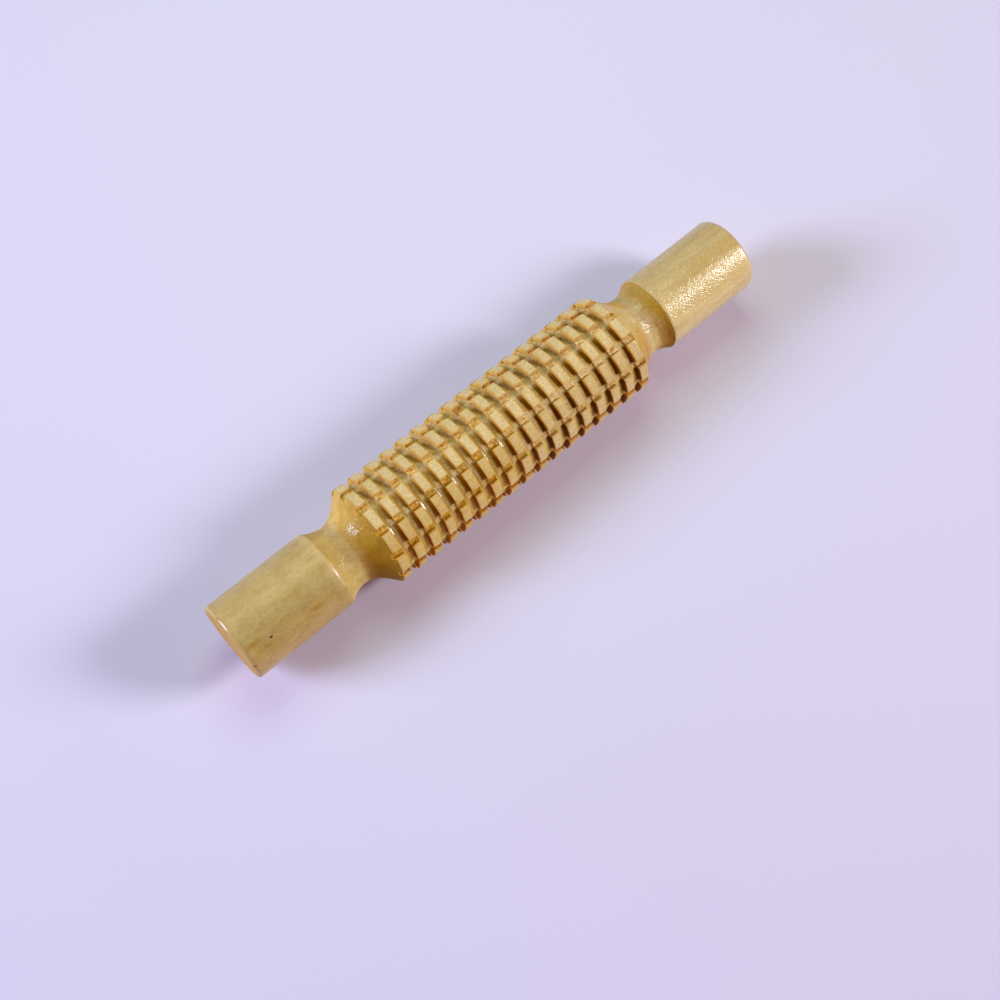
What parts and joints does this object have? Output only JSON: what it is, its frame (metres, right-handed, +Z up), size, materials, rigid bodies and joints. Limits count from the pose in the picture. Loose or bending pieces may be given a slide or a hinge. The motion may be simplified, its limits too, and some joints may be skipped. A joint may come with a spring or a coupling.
{
  "type": "textured pattern roller",
  "caption": "One-piece turned wooden hand roller with a carved barrel of notched rings between two coves and two plain round grips.",
  "frame": {"origin": "on the surface that the roller lies on, under its axis, at the middle of its whole length", "axes": "+X along the roller's axis towards the slightly thinner, right grip; +Z up; +Y away from a person who holds one grip in each hand"},
  "size_m": [0.1876, 0.032, 0.032],
  "materials": {
    "grip_wood": "satin varnish, fine lengthwise grain",
    "cove_wood": "satin varnish, slightly ambered",
    "groove_wood": "rough cut, dusty matt",
    "stud_wood": "matt, fine grain"
  },
  "bodies": {
    "root": {"left_handle": "grip_wood", "left_neck": "cove_wood", "barrel_core": "groove_wood", "right_neck": "cove_wood", "right_handle": "grip_wood", "stud_ring_01": "stud_wood", "stud_ring_02": "stud_wood", "stud_ring_03": "stud_wood", "stud_ring_04": "stud_wood", "stud_ring_05": "stud_wood", "stud_ring_06": "stud_wood", "stud_ring_07": "stud_wood", "stud_ring_08": "stud_wood", "stud_ring_09": "stud_wood", "stud_ring_10": "stud_wood", "stud_ring_11": "stud_wood", "stud_ring_12": "stud_wood", "stud_ring_13": "stud_wood", "stud_ring_14": "stud_wood", "stud_ring_15": "stud_wood", "stud_ring_16": "stud_wood", "stud_ring_17": "stud_wood"}
  },
  "joints": []
}
